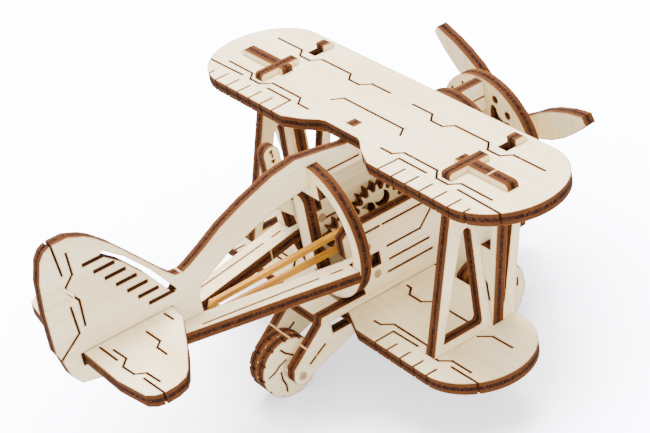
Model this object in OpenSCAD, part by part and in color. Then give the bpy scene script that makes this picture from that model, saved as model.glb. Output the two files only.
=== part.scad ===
// Flat-pack biplane. Every plate is cut from one sheet; the units are millimetres.
// Inside the file x runs forward, y to the left and z up, measured from the top face of the upper wing.

/* [Sheet] */
// thickness of the sheet every plate is cut from
ply = 3; // [2.9:0.1:3]
// width of the decorative cut lines
line_w = 0.5; // [0.3:0.1:0.7]
// gap left on each side of a tab in its slot
slot_gap = 0.05; // [0.03:0.01:0.08]
// gap around a dowel that turns in its hole
run_gap = 0.06; // [0.03:0.01:0.1]

/* [Wings] */
// distance from the middle to the tip of the upper wing
upper_half_span = 60; // [57:1:66]
// distance from the middle to the tip of the lower wing
lower_half_span = 54.7; // [53:0.5:60]

/* [Wheels] */
// radius of each front wheel
front_wheel_r = 9; // [8:0.1:9]
// radius of the rear wheel
rear_wheel_r = 7.6; // [6.5:0.1:7.6]

/* [Propeller] */
// radius of the propeller
propeller_r = 31; // [28:0.5:33]
// direction of the first blade
propeller_turn = 40; // [0:5:115]

/* [Hidden] */
$fn = 64;
wing_top = 58;
mid_x = 8.45;
upper_z = -ply;
lower_z = -43.6;
upper_x0 = 18;
upper_chord = 30;
lower_x0 = 8.2;
lower_chord = 28.4;
strut_y = 35;
strut_t0 = 29.85;
panel_y = 5;
ring_x = 11.3;
disc_z = -21.1;
disc_r = 16.9;
rear_disc_r = 16.1;
rear_disc_x = 53.3;
front_disc_x = 62.8;
hub_x = 66.1;
blade_x = 69.5;
axle_x = 45;
axle_z = -49;
tail_x = -4.1;
tail_z = -50.4;
big_x = 30;
big_z = -26.5;
gear_m = norm([axle_x - big_x, axle_z - big_z]) / 37.5;
idler_dir = atan2(axle_z - big_z, axle_x - big_x);
idler_x = big_x + 20 * gear_m * cos(idler_dir);
idler_z = big_z + 20 * gear_m * sin(idler_dir);
drum_dir = 182;
drum_x = big_x + 15 * gear_m * cos(drum_dir);
drum_z = big_z + 15 * gear_m * sin(drum_dir);
gear_y = 1;
peg_x = -17.5;
peg_z = -27.1;
pin_r = 1;
axle_r = 1.5;
core_r = 1.3;
peg_r = 0.75;
band_t = 1.2;
band_w = 1.4;
pivot_x = 16.6;
pivot_z = -22.6;

// moves the drawing so that the whole model stands centred on the ground
module place() translate([-mid_x, 0, wing_top]) children();

// a flat drawing stood up as a sheet: level, upright fore and aft, upright across
module level(z0, t = ply) translate([0, 0, z0]) linear_extrude(t) children();
module upright(y0, t = ply) translate([0, y0 + t, 0]) rotate([90, 0, 0]) linear_extrude(t) children();
module across(x0, t = ply) translate([x0, 0, 0]) rotate([90, 0, 90]) linear_extrude(t) children();

// a round rod along y or along x
module rod_y(r, x, z, y0, y1) translate([x, y1, z]) rotate([90, 0, 0]) cylinder(r = r, h = y1 - y0);
module rod_x(r, x0, x1, y, z) translate([x0, y, z]) rotate([0, 90, 0]) cylinder(r = r, h = x1 - x0);

// a cut line that follows a list of points, and the same on both sides of the middle
module cut(p, w = line_w) {
  for (i = [0:len(p) - 2]) {
    d = p[i + 1] - p[i];
    translate(p[i]) rotate(atan2(d[1], d[0])) translate([-w / 2, -w / 2]) square([norm(d) + w, w]);
  }
}
module both() {
  children();
  mirror([0, 1]) children();
}
// a half outline that starts and ends on the middle line, completed by its mirror image
function whole(p) = concat(p, [for (i = [len(p) - 1:-1:0]) [p[i][0], -p[i][1]]]);
module block(x0, x1, y0, y1) translate([x0, y0]) square([x1 - x0, y1 - y0]);

// gear outline with straight-sided teeth; the first tooth points along `turn`
module gear(n, bore, turn) {
  r = n * gear_m / 2;
  difference() {
    union() {
      circle(r = r - 1.2 * gear_m);
      for (i = [0:n - 1]) {
        rotate(turn + i * 360 / n) polygon([[r - 1.5 * gear_m, -0.88 * gear_m], [r + 0.8 * gear_m, -0.28 * gear_m],
          [r + 0.8 * gear_m, 0.28 * gear_m], [r - 1.5 * gear_m, 0.88 * gear_m]]);
      }
    }
    circle(r = bore);
  }
}

// upper wing
module upper_wing_cuts() {
  cut([[40.4, 50.8], [40.4, 40.4], [38.3, 38.3], [38.3, 34.2], [40.5, 31.9], [40.5, 20], [38.5, 18],
    [38.5, 13.8], [40.6, 11.6], [40.6, 4.3]]);
  cut([[25.7, 51], [25.7, 40.7], [23.7, 38.6], [23.7, 34.6], [25.9, 32.1], [25.9, 20.3], [23.9, 18.3], [23.9, 14.3]]);
  cut([[23.7, 31], [23.7, 21.3], [17, 21]]);
  cut([[23.7, 42], [23.3, 59]]);
  for (y = [26, 30.9, 35.8, 40.7, 45.6]) {
    cut([[17, y], [21.6, y]]);
  }
  cut([[17, 50], [20.4, 50]]);
}
module strut_slots() {
  block(24.8 - slot_gap, 35.7 + slot_gap, strut_y - slot_gap, strut_y + ply + slot_gap);
  block(strut_t0 - slot_gap, strut_t0 + ply + slot_gap, 33.5 - slot_gap, 51.2 + slot_gap);
  block(40.5, 46.4 + slot_gap, strut_y - slot_gap, strut_y + ply + slot_gap);
}
module upper_wing() color("wheat") place() level(upper_z) {
  r = upper_chord / 2;
  difference() {
    union() {
      block(upper_x0, upper_x0 + upper_chord, r - upper_half_span, upper_half_span - r);
      for (side = [-1, 1]) {
        translate([upper_x0 + r, side * (upper_half_span - r)]) circle(r = r);
      }
    }
    polygon([[17, -17.8], [18, -17], [20.4, -11.4], [22.6, -8], [23.2, -6.3], [23.2, 6.3], [22.6, 8],
      [20.4, 11.4], [18, 17], [17, 17.8]]);
    block(25.7 - slot_gap, 28.1 + slot_gap, -ply / 2 - slot_gap, ply / 2 + slot_gap);
    cut([[30, -13.4], [32.3, -11.5], [32.3, 11.5], [30, 13.4]]);
    both() {
      upper_wing_cuts();
      strut_slots();
    }
  }
}

// lower wing
module lower_wing_cuts() {
  cut([[27, 9.7], [26.9, 11.4], [25, 13.3], [25, 17.8], [27, 20.1], [27.1, 33]]);
  cut([[25, 38.6], [27.2, 41.1], [27.4, 47.7]]);
  cut([[13.1, 15.5], [13.2, 17.8], [15.3, 20.1], [15.3, 32.7], [13.4, 34.9], [13.4, 39.1], [15.4, 41.4], [15.5, 47.9]]);
  cut([[13.9, 43.1], [14.1, 54]]);
  cut([[7, 22.3], [13.5, 22.2], [13.7, 31.1]]);
  for (y = [26.8, 31.6, 36.4, 41.2]) {
    cut([[7, y], [11, y]]);
  }
}
module lower_wing() color("wheat") place() level(lower_z) {
  r = lower_chord / 2;
  difference() {
    union() {
      block(lower_x0, lower_x0 + lower_chord, r - lower_half_span, lower_half_span - r);
      for (side = [-1, 1]) {
        translate([lower_x0 + r, side * (lower_half_span - r)]) circle(r = r);
      }
    }
    polygon([[7, -15], [8.2, -15], [11, -8.3], [11, 8.3], [8.2, 15], [7, 15]]);
    block(29.4, 40, -4.8, 4.8);
    both() {
      lower_wing_cuts();
      block(17.5 - slot_gap, 24 + slot_gap, strut_y - slot_gap, strut_y + ply + slot_gap);
      block(strut_t0 - slot_gap, strut_t0 + ply + slot_gap, 35.2 - slot_gap, 37.6 + slot_gap);
    }
  }
}

// fuselage side, seen from the right, without the holes that only one side has
module side_outline() {
  difference() {
    union() {
      polygon([[13.2, -21.8], [13.2, -26.6], [15.8, -31], [16.6, -38.4], [3.9, -38.4], [3.2, -40.3],
        [-6, -48], [-6.3, -50.6], [-3.4, -52.5], [0.4, -50.5], [11.3, -46.8], [36, -46.8], [41.8, -50],
        [48.4, -49.5], [rear_disc_x, -36.5], [rear_disc_x, -20.4], [15.3, -20.4]]);
      translate([tail_x, tail_z]) circle(r = 2.3);
      translate([axle_x, axle_z]) circle(r = 3.6);
    }
    translate([tail_x, tail_z]) circle(r = pin_r);
    translate([axle_x, axle_z]) circle(r = axle_r + run_gap);
    translate([drum_x, drum_z]) circle(r = pin_r + run_gap);
    translate([20.8, -34.9]) circle(r = 0.95);
    block(5.9, 37.2, -43.75, -40.45);
    block(19.6, 22.3, -32.8, -29.2);
    cut([[16.2, -23], [23.5, -23]]);
    cut([[24.6, -23], [35.9, -23]]);
    cut([[37.9, -25.6], [34.4, -29.1], [24.8, -29.1]]);
    cut([[36.3, -32.7], [24.8, -32.7]]);
    cut([[36.7, -35.8], [23.9, -35.8]]);
    cut([[3.3, -45.4], [-1.4, -48.3]]);
    cut([[40, -23], [52, -23]]);
    cut([[40.5, -26], [43, -28.6], [51, -28.6]]);
  }
}
module side_panel_right() color("wheat") place() upright(-panel_y - ply) side_outline();
module side_panel_left() color("wheat") place() upright(panel_y) difference() {
  union() {
    side_outline();
    polygon([[17, -20.8], [42, -20.8], [42, -15], [37, -9.5], [20, -9.5], [17, -12]]);
  }
  block(12, ring_x + ply + slot_gap, -32, -20);
  translate([big_x, big_z]) circle(r = pin_r + run_gap);
  translate([idler_x, idler_z]) circle(r = pin_r + run_gap);
  translate([pivot_x, pivot_z]) circle(r = pin_r);
}

// spine and fin, one upright plate
module fin_cuts() {
  for (i = [0:6]) {
    x0 = -46.1 + i * 2.12;
    cut([[x0, -0.4 - i * 2.75], [x0 + (i == 6 ? 5.8 : 4.4), -0.4 - i * 2.75]], 0.9);
  }
  cut([[-41.3, 0], [-37, -3.6], [-32, -9.6], [-27.4, -16.6]], 1.2);
  cut([[-52.2, 8], [-51.5, -0.3]]);
  cut([[-49.3, 4.1], [-49.2, -1.2], [-51.6, -3.7], [-51.3, -4.7], [-49.2, -7.8], [-49.4, -14.2]]);
  cut([[-51.5, -8.6], [-51.2, -15.4], [-57, -19.9]]);
}
module spine_fin() color("wheat") place() upright(-ply / 2) difference() {
  union() {
    polygon([[-52.2, 7.5], [-54.2, 6.6], [-55.5, 4.8], [-56.9, 0], [-57.5, -7], [-57.6, -17.6], [-56.7, -19.9],
      [-55.6, -24.5], [-53.5, -27.4], [-48.3, -28.6], [-21.9, -28.6], [-21.5, -27], [-21.6, -20.8], [-20.4, -19],
      [-11.8, -14.5], [-3.4, -11.7], [3.6, -9.9], [10.6, -8.9], [29, -8.9], [36, -6.4], [36, -3], [22, -3],
      [16, -1.9], [8.9, -0.9], [2.3, -2], [-6, -4.8], [-12.8, -7.7], [-18, -10.7], [-22.2, -12.9], [-24.2, -13.7],
      [-26.2, -13.4], [-27.9, -11.7], [-33, -5.6], [-38.8, 1.2], [-42.4, 4.6], [-44.5, 6], [-48.1, 7.5]]);
    block(25.7, 28.1, -4, 0);
  }
  fin_cuts();
  cut([[16, -7.3], [25.5, -7.3]], 0.4);
  block(-52.2, -28.5, -23.55, -20.3);
  block(-34 - slot_gap, -28.6 + slot_gap, -29, -25.6 + slot_gap);
}

// tail boom, one level plate shaped like a V
module tail_boom() color("wheat") place() difference() {
  level(-28.6) difference() {
    polygon(whole([[-34, 4.55], [11.25, 16.45], [11.25, 12.1], [ring_x + ply, 12.1],
      [ring_x + ply, 9.9], [11.25, 9.75], [-21.7, 1.6]]));
    block(-28.6, -15, -ply / 2 - slot_gap, ply / 2 + slot_gap);
    both() cut([[-24.3, 5.7], [3.3, 11.3]], 0.4);
    both() cut([[6.3, 12], [9, 12.6]], 0.4);
  }
  rod_y(peg_r, peg_x, peg_z, -4.2, 4.2);
}

// stabiliser
module stabiliser() color("wheat") place() level(-23.45) difference() {
  polygon(whole([[-28.7, 3], [-29.3, 7], [-34.6, 17.4], [-38.9, 24.6], [-40.8, 26.7], [-43.5, 27.7],
    [-46.6, 27.9], [-48.7, 27.2], [-50.2, 25.6], [-51.6, 16.3], [-51.5, 4.2]]));
  both() {
    cut([[-48, 2.5], [-47.8, 9.7]]);
    cut([[-46.4, 5.7], [-46.1, 10.7], [-48.2, 12.9], [-47.9, 17.1], [-45.8, 18.8], [-45.4, 23.7]]);
    cut([[-47.2, 20.1], [-46.8, 29]]);
    cut([[-37.8, 5.5], [-37.6, 10.9], [-39.3, 12.5], [-39.2, 16.3]]);
    cut([[-31.4, 2.6], [-31.2, 6]]);
  }
}

// ring behind the cockpit
module ring_former() color("wheat") place() across(ring_x) difference() {
  translate([0, disc_z]) circle(r = 17.4);
  difference() {
    translate([0, disc_z]) circle(r = 14.4);
    block(-20, 20, -40, -33.4);
    block(-4.6, 4.6, -11.6, 0);
    block(2.9, 7.3, -34, -16);
    translate([5.1, -16]) circle(r = 2.2);
  }
  block(-ply / 2 - slot_gap, ply / 2 + slot_gap, -8.95, 0);
  for (y = [-5, 1.2]) {
    polygon([[y, -33.6], [y + 3, -33.6], [y + 1.5, -36.2]]);
  }
}

// round nose discs, and the rail between them with its tab through the rear one
module nose_disc_rear() color("wheat") place() across(rear_disc_x) difference() {
  translate([0, disc_z]) circle(r = rear_disc_r);
  translate([0, disc_z]) circle(r = axle_r + run_gap);
  block(-ply / 2 - slot_gap, ply / 2 + slot_gap, -11.5 - slot_gap, -8 + slot_gap);
}
module nose_disc_front() color("wheat") place() across(front_disc_x) difference() {
  translate([0, disc_z]) circle(r = disc_r);
  translate([0, disc_z]) circle(r = axle_r + run_gap);
  translate([-5.3, -8.6]) circle(r = 1);
  translate([-9.3, -11.6]) circle(r = 1);
  translate([11.4, -10.8]) circle(r = 0.45);
  translate([6.8, -8]) circle(r = 0.45);
  polygon([[-2.6, -14.6], [-2.9, -12.2], [-3.4, -10.7], [-4.4, -10.3], [-5.2, -11.1], [-5.4, -12.1],
    [-6, -13.1], [-7.4, -13.9], [-9.4, -13.6], [-10.4, -15.4], [-9.6, -18], [-6.6, -17.6], [-4.4, -15.4]]);
}
module nose_rail() color("wheat") place() upright(-ply / 2) difference() {
  polygon([[rear_disc_x + ply, -12.5], [front_disc_x, -12.5], [front_disc_x, -4.9], [rear_disc_x + ply, -4.9],
    [rear_disc_x + ply, -8], [rear_disc_x, -8], [rear_disc_x, -11.5], [rear_disc_x + ply, -11.5]]);
  cut([[58.9, -8.8], [front_disc_x + 1, -8.8]], 0.3);
}

// wing struts: fore-and-aft plates, and plates across that slide over them
module strut_shape() difference() {
  union() {
    polygon([[13.1, -40.6], [36.5, -40.6], [38.9, -28.5], [45.7, -3], [24.9, -3]]);
    block(25.8, 35.7, -4, 1.5);
    translate([25.8, 0.5]) circle(r = 1);
    block(24.8, 27, -4, 0.5);
    polygon([[43.2, -4], [46.4, -4], [46.4, 0.6], [45.6, 1.5], [43.2, 1.5]]);
    block(17.5, 24, -43.6, -40);
  }
  polygon([[16.1, -38.3], [26.6, -38.3], [27.2, -37.6], [28, -14], [27.3, -13], [26.3, -13], [25.4, -14]]);
  polygon([[33.9, -36.5], [35.9, -29.5], [42.4, -6.5], [33.9, -6.5]]);
  block(strut_t0 - slot_gap, strut_t0 + ply + slot_gap, -45, -22);
}
module strut_right() color("wheat") place() upright(-strut_y - ply) strut_shape();
module strut_left() color("wheat") place() upright(strut_y) strut_shape();
module cross_shape() difference() {
  union() {
    polygon([[34.6, -40.6], [38, -40.6], [45.6, -10.5], [47.6, -6], [51.2, -4.5], [51.2, -3], [33.5, -3]]);
    block(33.5, 50.2, -4, 1.5);
    translate([50.2, 0.5]) circle(r = 1);
    block(49, 51.2, -4, 0.5);
    block(35.2, 37.6, -43.6, -40);
  }
  block(strut_y - slot_gap, strut_y + ply + slot_gap, -22 - slot_gap, 3);
  polygon([[37, -12], [43.2, -12], [41.6, -18.7], [37, -18.7]]);
  block(36.4, 38.6, -33.5, -29);
  translate([37.5, -29]) circle(r = 1.1);
}
module cross_strut_right() color("wheat") place() across(strut_t0) mirror([1, 0]) cross_shape();
module cross_strut_left() color("wheat") place() across(strut_t0) cross_shape();

// small plates between the fuselage sides, and the dowel that pins them
module floor_plate() color("wheat") place() level(-41.55) block(3.5, 10.8, -panel_y, panel_y);
module bulkhead() color("wheat") place() across(50) block(-panel_y, panel_y, -36.5, -24);
module panel_dowel() color("tan") place() rod_y(0.95, 20.8, -34.9, -8, 8);

// rear wheel on its fixed axle
module rear_ply() difference() {
  circle(r = rear_wheel_r);
  circle(r = pin_r + run_gap);
  for (i = [0:11]) {
    rotate(i * 30) translate([rear_wheel_r - 0.35, -0.35]) square([1, 0.7]);
  }
  for (i = [0:4]) {
    rotate(i * 72) cut([[2.2, 1.6], [1, 3.2], [-0.6, 4.4], [-1.6, 5.8]], 0.4);
  }
}
module rear_wheel_right() color("wheat") place() upright(-ply) translate([tail_x, tail_z]) rear_ply();
module rear_wheel_left() color("wheat") place() upright(0) translate([tail_x, tail_z]) rotate(15) rear_ply();
module rear_axle() color("tan") place() rod_y(pin_r, tail_x, tail_z, -8.2, 8.2);
module rear_spacers() color("wheat") place() {
  for (y = [-5, 3.3]) {
    upright(y, 1.7) translate([tail_x, tail_z]) difference() {
      circle(r = 2.2);
      circle(r = pin_r);
    }
  }
}

// front wheels, two sheets thick, fixed to the front axle
module front_ply() difference() {
  circle(r = front_wheel_r);
  circle(r = axle_r);
  for (i = [0:11]) {
    rotate(i * 30) translate([front_wheel_r - 0.35, -0.35]) square([1, 0.7]);
  }
  for (i = [0:4]) {
    rotate(i * 72) {
      cut([[3, 1.6], [3.4, 3.4], [2, 4.6], [2.4, 6.2], [0.8, 7]], 0.45);
      polygon([[5.6, -0.6], [6.8, 0], [5.6, 0.6]]);
    }
  }
}
module front_wheel(y0, turn) place() upright(y0) translate([axle_x, axle_z]) rotate(turn) front_ply();
module front_wheel_right_outer() color("wheat") front_wheel(-16 - ply, 0);
module front_wheel_right_inner() color("wheat") front_wheel(-16, 15);
module front_wheel_left_inner() color("wheat") front_wheel(16 - ply, 15);
module front_wheel_left_outer() color("wheat") front_wheel(16, 0);
module front_axle() color("tan") place() rod_y(axle_r, axle_x, axle_z, -19.3, 19.3);
module front_spacers() color("wheat") place() {
  for (y = [-13, 8.4]) {
    upright(y, 4.6) translate([axle_x, axle_z]) difference() {
      circle(r = 3);
      circle(r = axle_r);
    }
  }
}

// gear train between the band's drum and the front axle
module drive_gear() color("wheat") place() upright(gear_y) translate([big_x, big_z]) difference() {
  gear(20, pin_r, idler_dir);
  for (i = [0:4]) {
    rotate(i * 72) difference() {
      translate([3.9, 0]) circle(r = 2.1);
      translate([4.9, 1.4]) circle(r = 1.8);
    }
  }
}
module drive_dowel() color("tan") place() rod_y(pin_r, big_x, big_z, 0.4, 7.9);
module idler_gear() color("wheat") place() upright(gear_y) translate([idler_x, idler_z]) gear(20, pin_r, idler_dir + 189);
module idler_dowel() color("tan") place() rod_y(pin_r, idler_x, idler_z, 0.4, 7.9);
module axle_gear() color("wheat") place() upright(gear_y) translate([axle_x, axle_z]) {
  // the idler shows a gap or a tooth on the far side, so the phase follows from its own teeth
  gear(15, axle_r, idler_dir + 180);
}
module drum_gear() color("wheat") place() upright(gear_y) translate([drum_x, drum_z]) {
  // nearest tooth of the drive gear to the line between the two centres
  off = drum_dir - idler_dir - 18 * round((drum_dir - idler_dir) / 18);
  gear(10, pin_r, drum_dir + 180 + 18 + 2 * off);
}
module drum_core() color("wheat") place() upright(-1.6, 2.6) translate([drum_x, drum_z]) difference() {
  circle(r = core_r);
  circle(r = pin_r);
}
module drum_flange() color("wheat") place() upright(-4.6) translate([drum_x, drum_z]) difference() {
  circle(r = 4.2, $fn = 8);
  circle(r = pin_r);
}
module drum_dowel() color("tan") place() rod_y(pin_r, drum_x, drum_z, -7.9, 7.9);

// propeller and its shaft
module blade() polygon([[3, -2], [10.3, -2.8], [15, -3.6], [20, -3.8], [26, -3.3], [propeller_r, -2.2],
  [propeller_r + 0.2, 0.1], [25.4, 2], [21, 3], [16, 3.5], [12, 3.2], [3, 2]]);
module propeller() color("wheat") place() across(blade_x) translate([0, disc_z]) difference() {
  union() {
    circle(r = 5);
    for (i = [0:2]) {
      rotate(propeller_turn + i * 120) blade();
    }
  }
  circle(r = axle_r);
}
module propeller_hub() color("wheat") place() across(hub_x, blade_x - hub_x) translate([0, disc_z]) difference() {
  circle(r = 6.5);
  circle(r = axle_r);
}
module propeller_cap() color("wheat") place() across(blade_x + ply, 2) translate([0, disc_z]) difference() {
  circle(r = 3);
  circle(r = axle_r);
}
module propeller_shaft() color("tan") place() rod_x(axle_r, 52.4, blade_x + ply + 2, 0, disc_z);
module shaft_collar() color("wheat") place() across(58.2) translate([0, disc_z]) difference() {
  circle(r = 4.5);
  circle(r = axle_r);
}

// control lever on the left side, with the marks 1 and 2 and an arrow
module lever() color("wheat") place() upright(panel_y + ply + 0.3) difference() {
  union() {
    polygon([[16.6, -20.1], [11, -16], [11, -3.1], [6.7, -3.1], [7.3, -17], [15.4, -24.8]]);
    translate([8.85, -3.1]) circle(r = 2.15);
    translate([pivot_x, pivot_z]) circle(r = 2.5);
  }
  translate([pivot_x, pivot_z]) circle(r = pin_r + run_gap);
  cut([[8.4, -2.4], [8.9, -2], [8.9, -3.6]], 0.35);
  cut([[8.2, -6.6], [8.9, -6.1], [9.6, -6.6], [8.2, -8.2], [9.8, -8.2]], 0.35);
  polygon([[8.3, -4.4], [9.5, -4.4], [8.9, -5.4]]);
  polygon([[8.5, -9.4], [9.7, -9.4], [9.1, -10.5]]);
}
module lever_pin() color("tan") place() rod_y(pin_r, pivot_x, pivot_z, panel_y, 11.6);

// rubber band: a closed loop round the tail peg and the drum
function arc(x, r, a0, a1, n = 12) = [for (i = [0:n]) [x + r * cos(a0 + (a1 - a0) * i / n), r * sin(a0 + (a1 - a0) * i / n)]];
module loop(ra, rb) {
  dx = drum_x - peg_x;
  dz = drum_z - peg_z;
  far = norm([dx, dz]);
  lean = 90 + asin((rb - ra) / far);
  translate([peg_x, peg_z]) rotate(atan2(dz, dx)) {
    polygon(concat(arc(0, ra, lean, 360 - lean), arc(far, rb, -lean, lean)));
  }
}
module rubber_band() color("goldenrod") place() upright(-band_w / 2, band_w) difference() {
  loop(peg_r + 0.02 + band_t, core_r + 0.05 + band_t);
  loop(peg_r + 0.02, core_r + 0.05);
}
module tail_peg() color("tan") place() rod_y(peg_r, peg_x, peg_z, -4.2, 4.2);

upper_wing();
lower_wing();
side_panel_right();
side_panel_left();
spine_fin();
tail_boom();
stabiliser();
ring_former();
nose_disc_rear();
nose_disc_front();
nose_rail();
strut_right();
strut_left();
cross_strut_right();
cross_strut_left();
floor_plate();
bulkhead();
panel_dowel();
rear_wheel_right();
rear_wheel_left();
rear_axle();
rear_spacers();
front_wheel_right_outer();
front_wheel_right_inner();
front_wheel_left_inner();
front_wheel_left_outer();
front_axle();
front_spacers();
axle_gear();
idler_gear();
idler_dowel();
drive_gear();
drive_dowel();
drum_gear();
drum_core();
drum_flange();
drum_dowel();
propeller();
propeller_hub();
propeller_cap();
propeller_shaft();
shaft_collar();
lever();
lever_pin();
rubber_band();
tail_peg();
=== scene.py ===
# %% [markdown]
# # A flat-pack biplane in plywood
# The model is a kit: flat plates cut by laser from three-ply birch sheet, slotted together, with
# turned dowels as axles and a rubber band as the motor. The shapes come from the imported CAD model,
# so this script loads that as a fixed frame and gives it its looks.

# %% Load the frame
import math

import bpy
from mathutils import Matrix, Vector


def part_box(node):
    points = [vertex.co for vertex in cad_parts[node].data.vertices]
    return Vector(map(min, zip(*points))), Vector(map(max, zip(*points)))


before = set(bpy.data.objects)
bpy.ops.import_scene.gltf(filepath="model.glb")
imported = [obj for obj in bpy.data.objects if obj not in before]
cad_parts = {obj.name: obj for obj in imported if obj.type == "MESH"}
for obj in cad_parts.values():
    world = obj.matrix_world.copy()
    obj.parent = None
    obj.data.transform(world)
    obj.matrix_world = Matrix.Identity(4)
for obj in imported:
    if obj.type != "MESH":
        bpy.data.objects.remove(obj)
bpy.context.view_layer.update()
MM = 0.001

# %% [markdown]
# ## Camera
# The camera looks down from behind the right wing tip, through a long lens, so that lines stay
# almost parallel. It is rolled a little. A camera's own axes are right, up and backwards, so the
# three vectors below go into the columns of its matrix.

# %% Place the camera
AZIMUTH = math.radians(60.60)
ELEVATION = math.radians(30.78)
ROLL = math.radians(-11.52)
EYE = Vector((-189.86, -347.29, 278.11)) * MM
LENS = 112.2
SHIFT_X = 0.0037
SHIFT_Y = -0.0098
look = Vector((
    math.cos(ELEVATION) * math.cos(AZIMUTH),
    math.cos(ELEVATION) * math.sin(AZIMUTH),
    -math.sin(ELEVATION),
))
level_right = Vector((math.sin(AZIMUTH), -math.cos(AZIMUTH), 0))
level_up = level_right.cross(look)
cam_right = level_right * math.cos(ROLL) + level_up * math.sin(ROLL)
cam_up = level_up * math.cos(ROLL) - level_right * math.sin(ROLL)

camera_data = bpy.data.cameras.new("camera")
camera_data.lens = LENS
camera_data.shift_x = SHIFT_X
camera_data.shift_y = SHIFT_Y
camera_data.sensor_width = 36
camera_data.clip_end = 20
camera = bpy.data.objects.new("camera", camera_data)
bpy.context.scene.collection.objects.link(camera)
turn = Matrix((cam_right, cam_up, -look)).transposed()
camera.matrix_world = Matrix.Translation(EYE) @ turn.to_4x4()
bpy.context.scene.camera = camera
print("camera at", tuple(round(v, 3) for v in EYE))

# %% [markdown]
# ## Floor and light
# A white floor under a bright, even sky keeps the background pale. One big soft lamp from above
# and behind the model lights the level faces; a weak one from the camera's side fills the upright
# faces, so that they stay a little darker than the wings.
#
# A backdrop lit by its own lamps looks whiter than the thing in front of it. The floor gets the
# same look from a glow that only the camera sees, so it adds no light to the model. The glow
# fades where the model shuts off the sky, so the soft shadow under the model is painted into it.

# %% Floor
FLOOR_COLOUR = (0.72, 0.72, 0.75, 1)
FLOOR_WIDTH = 6
GLOW_COLOUR = (0.82, 0.86, 1, 1)
FLOOR_GLOW = 12
SHADOW_GLOW = 1.2
SHADOW_DEPTH = 0.55
SHADOW_REACH = 90 * MM
bpy.ops.object.select_all(action="DESELECT")
bpy.ops.mesh.primitive_plane_add(size=FLOOR_WIDTH, location=(0, 0, 0))
floor = bpy.context.object
floor.name = "floor"
floor_paint = bpy.data.materials.new("floor_paint")
floor_paint.use_nodes = True
paint = floor_paint.node_tree.nodes["Principled BSDF"]
paint.inputs["Base Color"].default_value = FLOOR_COLOUR
paint.inputs["Roughness"].default_value = 0.6
floor_nodes = floor_paint.node_tree
rays = floor_nodes.nodes.new("ShaderNodeLightPath")
# Ambient occlusion paints the soft shadow into the floor's glow, which is dimmer where the model is
# near.
painted_shadow_ao = floor_nodes.nodes.new("ShaderNodeAmbientOcclusion")
painted_shadow_ao.inputs["Distance"].default_value = SHADOW_REACH
glow = floor_nodes.nodes.new("ShaderNodeMapRange")
glow.inputs["From Min"].default_value = SHADOW_DEPTH
glow.inputs["To Min"].default_value = SHADOW_GLOW
glow.inputs["To Max"].default_value = FLOOR_GLOW
seen = floor_nodes.nodes.new("ShaderNodeMath")
seen.operation = "MULTIPLY"
floor_nodes.links.new(painted_shadow_ao.outputs["AO"], glow.inputs["Value"])
floor_nodes.links.new(glow.outputs[0], seen.inputs[0])
floor_nodes.links.new(rays.outputs["Is Camera Ray"], seen.inputs[1])
floor_nodes.links.new(seen.outputs[0], paint.inputs["Emission Strength"])
paint.inputs["Emission Color"].default_value = GLOW_COLOUR
floor.data.materials.append(floor_paint)
print("floor is", floor.dimensions.x, "m wide")

# %% Sky and lamps
SKY_COLOUR = (0.95, 0.97, 1, 1)
SKY_STRENGTH = 2.35
MODEL_MIDDLE = Vector((0, 0, 0.03))

sky = bpy.data.worlds.new("sky")
sky.use_nodes = True
sky.node_tree.nodes["Background"].inputs["Color"].default_value = SKY_COLOUR
sky.node_tree.nodes["Background"].inputs["Strength"].default_value = SKY_STRENGTH
bpy.context.scene.world = sky


def soft_lamp(name, place, size, power):
    """A square lamp that faces the middle of the model."""
    data = bpy.data.lights.new(name, "AREA")
    data.size = size
    data.energy = power
    lamp = bpy.data.objects.new(name, data)
    bpy.context.scene.collection.objects.link(lamp)
    lamp.location = place
    towards = MODEL_MIDDLE - lamp.location
    lamp.rotation_euler = towards.to_track_quat("-Z", "Y").to_euler()
    return lamp


soft_lamp("key", (0.25, 0.35, 0.9), size=0.6, power=34)
soft_lamp("fill", (-0.5, -0.8, 0.5), size=0.8, power=6)

# %% [markdown]
# ## A small node helper
# A procedural material is a graph. Adding a node, setting its values and joining its inputs takes
# three steps each time, so one helper does all three. A value given as a socket is linked, any
# other value is typed in.

# %% Node helper
AXES = {"X": 0, "Y": 1, "Z": 2}


def node(tree, kind, values=None, **settings):
    """Adds a node, sets its properties and fills its inputs by name or number."""
    made = tree.nodes.new(kind)
    for key, value in settings.items():
        setattr(made, key, value)
    for key, value in (values or {}).items():
        if isinstance(value, bpy.types.NodeSocket):
            tree.links.new(value, made.inputs[key])
        else:
            made.inputs[key].default_value = value
    return made


def ramp(tree, value, stops):
    """A colour ramp with stops of (position, colour)."""
    made = node(tree, "ShaderNodeValToRGB", {"Fac": value})
    points = made.color_ramp.elements
    while len(points) < len(stops):
        points.new(0.5)
    for point, (place, colour) in zip(points, stops):
        point.position = place
        point.color = (*colour, 1)
    return made.outputs["Color"]


def mix(tree, factor, a, b, blend="MIX"):
    """Mixes two colours."""
    made = node(tree, "ShaderNodeMix", {0: factor}, data_type="RGBA", blend_type=blend)
    for key, value in ((6, a), (7, b)):
        if isinstance(value, bpy.types.NodeSocket):
            tree.links.new(value, made.inputs[key])
        else:
            made.inputs[key].default_value = (*value, 1)
    return made.outputs[2]


def sums(tree, operation, *values):
    """One step of arithmetic."""
    return node(tree, "ShaderNodeMath", dict(enumerate(values)), operation=operation).outputs[0]


def spread(tree, value, low, high, to_low=0, to_high=1):
    """Maps the range from low to high onto to_low to to_high."""
    limits = {"From Min": low, "From Max": high, "To Min": to_low, "To Max": to_high}
    return node(tree, "ShaderNodeMapRange", {"Value": value, **limits}).outputs[0]


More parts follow.
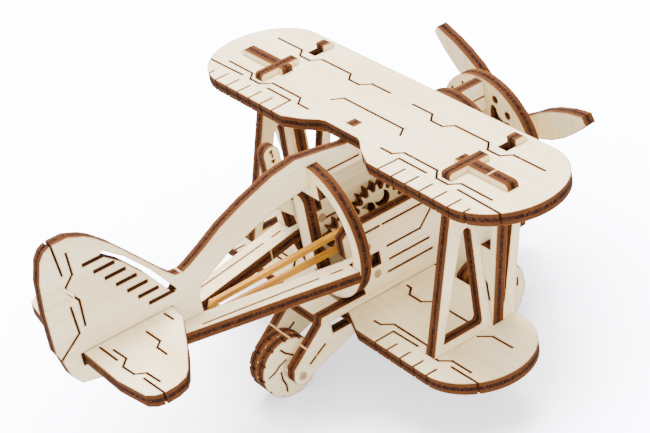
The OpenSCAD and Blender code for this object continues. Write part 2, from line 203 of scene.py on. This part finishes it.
def stretched(tree, place, sizes, detail=2.0):
    """Noise whose blobs measure about sizes (in metres) along x, y and z."""
    scaled = node(tree, "ShaderNodeMapping", {"Vector": place, "Scale": [1 / s for s in sizes]})
    vector = scaled.outputs[0]
    made = node(tree, "ShaderNodeTexNoise", {"Vector": vector, "Scale": 1.0, "Detail": detail})
    return made.outputs["Fac"]


print("helpers ready")

# %% [markdown]
# ## Laser-cut plywood
# A plate has two kinds of surface. Its faces are pale birch with a fine grain, and the laser has
# left a brown scorch along every cut. Its edges are burnt: brown outer plies and an almost black
# middle ply, with fine dark specks that are a little longer through the sheet than along it.
#
# The object's own normal tells a face from an edge, and the place through the sheet's thickness
# tells one ply from the next. The Bevel node looks a short way round each point, so the angle
# between its normal and the true one shows how near the point is to a cut.

# %% Plywood colours
FACE_PALE = (0.83, 0.685, 0.41)
FACE_WARM = (0.72, 0.55, 0.29)
FACE_LIGHT = (0.85, 0.735, 0.53)
FLECK = (0.55, 0.38, 0.21)
SCORCH = (0.33, 0.10, 0.012)
PLY_OUTER = (0.078, 0.0265, 0.0095)
PLY_MIDDLE = (0.014, 0.0052, 0.0050)
PLY_SKIN = (0.27, 0.100, 0.025)
SOOT = (0.010, 0.0035, 0.0030)
SINGED = (0.21, 0.078, 0.022)
BRIDGE = (0.50, 0.29, 0.13)
BRIDGE_GAP = 83 * MM
BRIDGE_WIDTH = 0.45 * MM
SCORCH_WIDTH = 0.6 * MM


def grain_sizes(grain, along, across):
    """Sizes of a noise that is long in the direction of the grain."""
    sizes = [across] * 3
    sizes[AXES[grain]] = along
    return sizes


print("plywood colours:", FACE_PALE, PLY_OUTER, PLY_MIDDLE)

# %% [markdown]
# The face is a broad change of tone, a long fine grain and short dark flecks. The scorch is laid
# over it, and comes and goes along a cut.

# %% Face and scorch
def birch_face(tree, place, grain):
    """Colour of the flat faces, and the height of their grain."""
    broad = stretched(tree, place, grain_sizes(grain, 60 * MM, 9 * MM), 3)
    fine = stretched(tree, place, grain_sizes(grain, 22 * MM, 0.55 * MM), 4)
    fleck = stretched(tree, place, grain_sizes(grain, 2.6 * MM, 0.16 * MM), 2)
    broad_part = sums(tree, "MULTIPLY", broad, 0.55)
    fine_part = sums(tree, "MULTIPLY", fine, 0.45)
    tone = sums(tree, "ADD", broad_part, fine_part)
    face = ramp(tree, tone, [(0.36, FACE_WARM), (0.54, FACE_PALE), (0.70, FACE_LIGHT)])
    return mix(tree, spread(tree, fleck, 0.57, 0.72, 0, 0.5), face, FLECK), fine


def scorch(tree, place):
    """How burnt a face is, from how near it is to a cut."""
    rounded = node(tree, "ShaderNodeBevel", {"Radius": SCORCH_WIDTH}, samples=6)
    true = node(tree, "ShaderNodeNewGeometry")
    normals = {0: rounded.outputs[0], 1: true.outputs["Normal"]}
    bend = node(tree, "ShaderNodeVectorMath", normals, operation="DOT_PRODUCT")
    near = spread(tree, bend.outputs["Value"], 0.995, 0.84)
    patchy = sums(tree, "ADD", stretched(tree, place, [1.8 * MM] * 3, 2), 0.35)
    return sums(tree, "MULTIPLY", near, patchy)


print("face and scorch ready")

# %% [markdown]
# The edge wanders a little as it goes from one ply to the next. The bridges are where the plate
# was snapped out of its sheet: a few narrow places that the laser left pale.

# %% Edge and bridges
def burnt_edge(tree, place, depth, thickness_axis):
    """Colour of the cut edges, and the height of their specks."""
    wander = sums(tree, "SUBTRACT", stretched(tree, place, [2.5 * MM] * 3, 2), 0.5)
    at = sums(tree, "ADD", depth, sums(tree, "MULTIPLY", wander, 0.10))
    plies = ramp(tree, at, [
        (0.0, PLY_SKIN), (0.07, PLY_OUTER), (0.30, PLY_OUTER), (0.38, PLY_MIDDLE),
        (0.62, PLY_MIDDLE), (0.70, PLY_OUTER), (0.93, PLY_OUTER), (1.0, PLY_SKIN)])
    specks = stretched(tree, place, grain_sizes(thickness_axis, 0.8 * MM, 0.38 * MM), 2)
    burn = mix(tree, stretched(tree, place, [5 * MM] * 3, 2), SOOT, SINGED)
    amount = sums(tree, "MULTIPLY", spread(tree, specks, 0.42, 0.66), 0.5)
    return mix(tree, amount, plies, burn), specks


def is_bridge(tree, own_place, thickness_axis):
    """One in the narrow pale places, nought elsewhere."""
    flat = [own_place.outputs[AXES[way]] for way in AXES if way != thickness_axis]
    first, second = 0.8 / BRIDGE_GAP, 0.6 / BRIDGE_GAP
    along = sums(tree, "MULTIPLY_ADD", flat[0], first, sums(tree, "MULTIPLY", flat[1], second))
    return sums(tree, "LESS_THAN", sums(tree, "FRACT", along), BRIDGE_WIDTH / BRIDGE_GAP)


print("bridges every", BRIDGE_GAP / MM, "mm or so")

# %% [markdown]
# The whole material picks the face or the edge for each point. Burnt wood is rougher and has less
# shine than the faces.

# %% Plywood material
def plywood(name, thickness_axis, grain, low, thick, shift):
    """Birch ply whose faces look along thickness_axis; low and thick place its plies."""
    made = bpy.data.materials.new(name)
    made.use_nodes = True
    tree = made.node_tree
    shader = tree.nodes["Principled BSDF"]
    coords = node(tree, "ShaderNodeTexCoord")
    shifted = node(tree, "ShaderNodeMapping", {"Vector": coords.outputs["Object"], "Location": shift})
    place = shifted.outputs[0]

    own_normal = node(tree, "ShaderNodeSeparateXYZ", {0: coords.outputs["Normal"]})
    facing = sums(tree, "ABSOLUTE", own_normal.outputs[AXES[thickness_axis]])
    is_face = sums(tree, "GREATER_THAN", facing, 0.5)
    own_place = node(tree, "ShaderNodeSeparateXYZ", {0: coords.outputs["Object"]})
    above_low = sums(tree, "SUBTRACT", own_place.outputs[AXES[thickness_axis]], low)
    depth = sums(tree, "DIVIDE", above_low, thick)

    face, grain_height = birch_face(tree, place, grain)
    face = mix(tree, scorch(tree, place), face, SCORCH)
    edge, speck_height = burnt_edge(tree, place, depth, thickness_axis)
    edge = mix(tree, is_bridge(tree, own_place, thickness_axis), edge, BRIDGE)

    tree.links.new(mix(tree, is_face, edge, face), shader.inputs["Base Color"])
    tree.links.new(spread(tree, is_face, 0, 1, 0.82, 0.62), shader.inputs["Roughness"])
    tree.links.new(spread(tree, is_face, 0, 1, 0.03, 0.25), shader.inputs["Specular IOR Level"])
    height = mix(tree, is_face, speck_height, grain_height)
    bump = node(tree, "ShaderNodeBump", {"Height": height, "Strength": 0.25, "Distance": 0.05 * MM})
    tree.links.new(bump.outputs[0], shader.inputs["Normal"])
    return made


print("plywood ready")

# %% [markdown]
# ## Which way each plate lies
# The first letter is the axis through the sheet, the second the way the grain runs. The wings and
# the tailplane have their grain along the span, the body's plates along the fuselage. Each node
# also gets its own shift of the noise, so that no two plates show the same piece of wood.

# %% Plywood on every plate
PLATES = {
    "upper_wing": "ZY", "lower_wing": "ZY", "stabiliser": "ZY",
    "tail_boom": "ZX", "floor_plate": "ZY",
    "side_panel_right": "YX", "side_panel_left": "YX", "spine_fin": "YX",
    "nose_rail": "YX", "strut_right": "YZ", "strut_left": "YZ",
    "lever": "YZ", "rear_wheel_right": "YX", "rear_wheel_left": "YX",
    "front_wheel_right_outer": "YX", "front_wheel_right_inner": "YX",
    "front_wheel_left_inner": "YX", "front_wheel_left_outer": "YX",
    "axle_gear": "YX", "idler_gear": "YX", "drive_gear": "YX",
    "drum_gear": "YX", "drum_flange": "YX",
    "ring_former": "XZ", "nose_disc_rear": "XZ", "nose_disc_front": "XZ", "bulkhead": "XZ",
    "cross_strut_right": "XZ", "cross_strut_left": "XZ",
    "propeller": "XZ", "propeller_hub": "XZ", "propeller_cap": "XZ", "shaft_collar": "XZ",
}


def dress(name, material):
    """Puts one material in all of a CAD node's slots."""
    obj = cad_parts[name]
    obj.data.materials.clear()
    obj.data.materials.append(material)


for count, (name, ways) in enumerate(PLATES.items()):
    lowest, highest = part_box(name)
    axis = AXES[ways[0]]
    thick = highest[axis] - lowest[axis]
    shift = (0.031 * count, 0.047 * count, 0.053 * count)
    dress(name, plywood("ply_" + name, ways[0], ways[1], lowest[axis], thick, shift))
    print(f"{name}: {thick / MM:.2f} mm thick")

# %% [markdown]
# ## Dowels
# Axles and pins are turned from a darker, plainer wood. The grain runs along the rod, and the cut
# ends are a little darker because end grain drinks in the light.

# %% Dowel material
DOWELS = {
    "Y": ["panel_dowel", "rear_axle", "front_axle", "idler_dowel", "drive_dowel", "drum_dowel",
          "lever_pin", "tail_peg", "rear_spacers", "front_spacers", "drum_core"],
    "X": ["propeller_shaft"],
}
DOWEL_DARK = (0.42, 0.25, 0.11)
DOWEL_MIDDLE = (0.62, 0.42, 0.22)
DOWEL_LIGHT = (0.72, 0.53, 0.31)
END_DARK = (0.20, 0.10, 0.04)
END_LIGHT = (0.52, 0.34, 0.17)


def dowel_wood(name, along):
    """Turned wood whose grain runs along the rod."""
    made = bpy.data.materials.new(name)
    made.use_nodes = True
    tree = made.node_tree
    shader = tree.nodes["Principled BSDF"]
    coords = node(tree, "ShaderNodeTexCoord")
    place = coords.outputs["Object"]
    fibre = stretched(tree, place, grain_sizes(along, 9 * MM, 0.25 * MM), 3)
    side = ramp(tree, fibre, [(0.35, DOWEL_DARK), (0.55, DOWEL_MIDDLE), (0.7, DOWEL_LIGHT)])
    own_normal = node(tree, "ShaderNodeSeparateXYZ", {0: coords.outputs["Normal"]})
    facing = sums(tree, "ABSOLUTE", own_normal.outputs[AXES[along]])
    is_end = sums(tree, "GREATER_THAN", facing, 0.7)
    pores = stretched(tree, place, [0.25 * MM] * 3, 2)
    end = ramp(tree, pores, [(0.4, END_DARK), (0.65, END_LIGHT)])
    tree.links.new(mix(tree, is_end, side, end), shader.inputs["Base Color"])
    shader.inputs["Roughness"].default_value = 0.6
    bump = node(tree, "ShaderNodeBump", {"Height": fibre, "Strength": 0.3, "Distance": 0.05 * MM})
    tree.links.new(bump.outputs[0], shader.inputs["Normal"])
    return made


for along, names in DOWELS.items():
    wood = dowel_wood("dowel_" + along.lower(), along)
    for name in names:
        dress(name, wood)
print("dowels:", sum(len(names) for names in DOWELS.values()))

# %% [markdown]
# ## Rubber band
# The band is amber rubber, a little see-through, so light that goes in comes out softened and
# warmer. A touch of subsurface scattering does that.

# %% Rubber material
AMBER_DEEP = (0.36, 0.14, 0.006)
AMBER = (0.52, 0.215, 0.014)
AMBER_PALE = (0.60, 0.31, 0.022)

rubber = bpy.data.materials.new("amber_rubber")
rubber.use_nodes = True
tree = rubber.node_tree
shader = tree.nodes["Principled BSDF"]
place = node(tree, "ShaderNodeTexCoord").outputs["Object"]
cloudy = stretched(tree, place, [9 * MM, 1.5 * MM, 0.7 * MM], 3)
amber = ramp(tree, cloudy, [(0.3, AMBER_DEEP), (0.55, AMBER), (0.75, AMBER_PALE)])
tree.links.new(amber, shader.inputs["Base Color"])
shader.inputs["Roughness"].default_value = 0.5
shader.inputs["Specular IOR Level"].default_value = 0.2
shader.inputs["Subsurface Weight"].default_value = 0.08
shader.inputs["Subsurface Radius"].default_value = (1.2 * MM, 0.6 * MM, 0.2 * MM)
shader.inputs["Subsurface Scale"].default_value = 1.0
bump = node(tree, "ShaderNodeBump", {"Height": cloudy, "Strength": 0.2, "Distance": 0.05 * MM})
tree.links.new(bump.outputs[0], shader.inputs["Normal"])
dress("rubber_band", rubber)
print("rubber on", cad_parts["rubber_band"].name)
